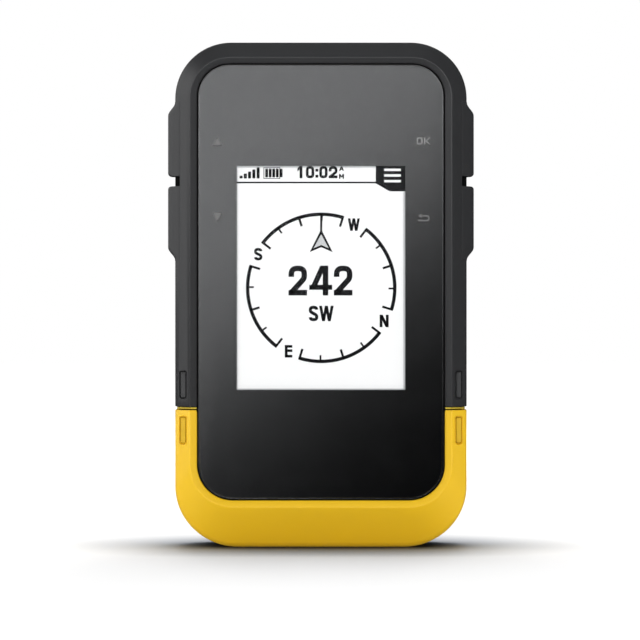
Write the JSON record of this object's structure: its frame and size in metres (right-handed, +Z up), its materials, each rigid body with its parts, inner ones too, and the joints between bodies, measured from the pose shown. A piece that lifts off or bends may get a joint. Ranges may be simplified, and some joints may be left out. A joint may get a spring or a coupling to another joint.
{
  "type": "handheld gps unit",
  "caption": "Rounded handheld satellite navigation unit with a glossy lens over its display, side keys, a latched battery cover and a mounting rail at the back.",
  "frame": {"origin": "middle of the bottom face of the part's box", "axes": "+Z up along the height, the display faces -Y, +X to the right as one looks at the display"},
  "size_m": [0.0618, 0.033, 0.102],
  "materials": {
    "housing_dark": "fine-textured dark grey moulding",
    "cover_dark": "fine-textured near-black moulding",
    "cap_yellow": "satin warm yellow moulding",
    "key_rubber": "matte dark grey rubber",
    "gasket_rubber": "black silicone",
    "lens_clear": "clear polished plate",
    "mask_black": "black print behind the lens",
    "display_glass": "white reflective display",
    "light_guide": "white diffusing sheet",
    "inner_plastic": "black moulding",
    "circuit_board": "green solder mask",
    "ribbon": "amber film",
    "plated_steel": "tin-plated steel",
    "latch_steel": "satin stainless steel",
    "contact_brass": "plated contact metal",
    "antenna_ceramic": "fired ceramic",
    "cell_sleeve": "printed sleeve over a metal can"
  },
  "bodies": {
    "housing": {"front_frame": "housing_dark", "bottom_cap": "cap_yellow", "rear_shell": "housing_dark", "housing_gasket": "gasket_rubber", "lens_cover": "lens_clear", "lens_mask": "mask_black", "lens_gasket": "gasket_rubber", "lcd_panel": "display_glass", "backlight_plate": "light_guide", "display_bracket": "inner_plastic", "display_flex": "ribbon", "main_board": "circuit_board", "shield_can_processor": "plated_steel", "shield_can_radio": "plated_steel", "gps_antenna": "antenna_ceramic", "beeper": "contact_brass", "switch_up": "plated_steel", "switch_down": "plated_steel", "switch_ok": "plated_steel", "switch_back": "plated_steel", "switch_power": "plated_steel", "usb_board": "circuit_board", "usb_port": "plated_steel", "battery_left": "cell_sleeve", "battery_right": "cell_sleeve", "cell_spring_left": "plated_steel", "cell_spring_right": "plated_steel", "cell_contact_left": "contact_brass", "cell_contact_right": "contact_brass", "case_screw_1": "plated_steel", "case_screw_2": "plated_steel", "case_screw_3": "plated_steel", "case_screw_4": "plated_steel"},
    "key_up": {"key_up": "key_rubber"},
    "key_down": {"key_down": "key_rubber"},
    "key_ok": {"key_ok": "key_rubber"},
    "key_back": {"key_back": "key_rubber"},
    "key_power": {"key_power": "key_rubber"},
    "cover": {"battery_cover": "cover_dark", "cover_gasket": "gasket_rubber", "mounting_rail": "inner_plastic", "rail_screw_1": "plated_steel", "rail_screw_2": "plated_steel"},
    "latch": {"latch_barrel": "latch_steel", "latch_tongue": "latch_steel", "latch_washer": "plated_steel", "latch_nut": "plated_steel"},
    "latch_ring": {"latch_ring": "latch_steel"},
    "weather_cap": {"weather_cap": "key_rubber"}
  },
  "joints": [
    {"name": "key_up_press", "type": "slide", "parent": "housing", "child": "key_up", "axis": [1, 0, 0], "range_m": [0, 0.0006], "stiffness_N_per_m": 2500},
    {"name": "key_down_press", "type": "slide", "parent": "housing", "child": "key_down", "axis": [1, 0, 0], "range_m": [0, 0.0006], "stiffness_N_per_m": 2500},
    {"name": "key_ok_press", "type": "slide", "parent": "housing", "child": "key_ok", "axis": [-1, 0, 0], "range_m": [0, 0.0006], "stiffness_N_per_m": 2500},
    {"name": "key_back_press", "type": "slide", "parent": "housing", "child": "key_back", "axis": [-1, 0, 0], "range_m": [0, 0.0006], "stiffness_N_per_m": 2500},
    {"name": "key_power_press", "type": "slide", "parent": "housing", "child": "key_power", "axis": [0, 0, -1], "range_m": [0, 0.0006], "stiffness_N_per_m": 2500},
    {"name": "cover_lift_off", "type": "slide", "parent": "housing", "child": "cover", "axis": [0, 1, 0], "range_m": [0, 0.03]},
    {"name": "latch_turn", "type": "hinge", "parent": "cover", "child": "latch", "pos_m": [0, 0.0085, 0.0116], "axis": [0, 1, 0], "range_deg": [0, 90]},
    {"name": "ring_flip", "type": "hinge", "parent": "latch", "child": "latch_ring", "pos_m": [0, 0.00975, 0.0116], "axis": [1, 0, 0], "range_deg": [0, 180]},
    {"name": "weather_cap_swing", "type": "hinge", "parent": "housing", "child": "weather_cap", "pos_m": [0.0076, 0.0109, 0.088], "axis": [0, 0, -1], "range_deg": [0, 110]}
  ]
}
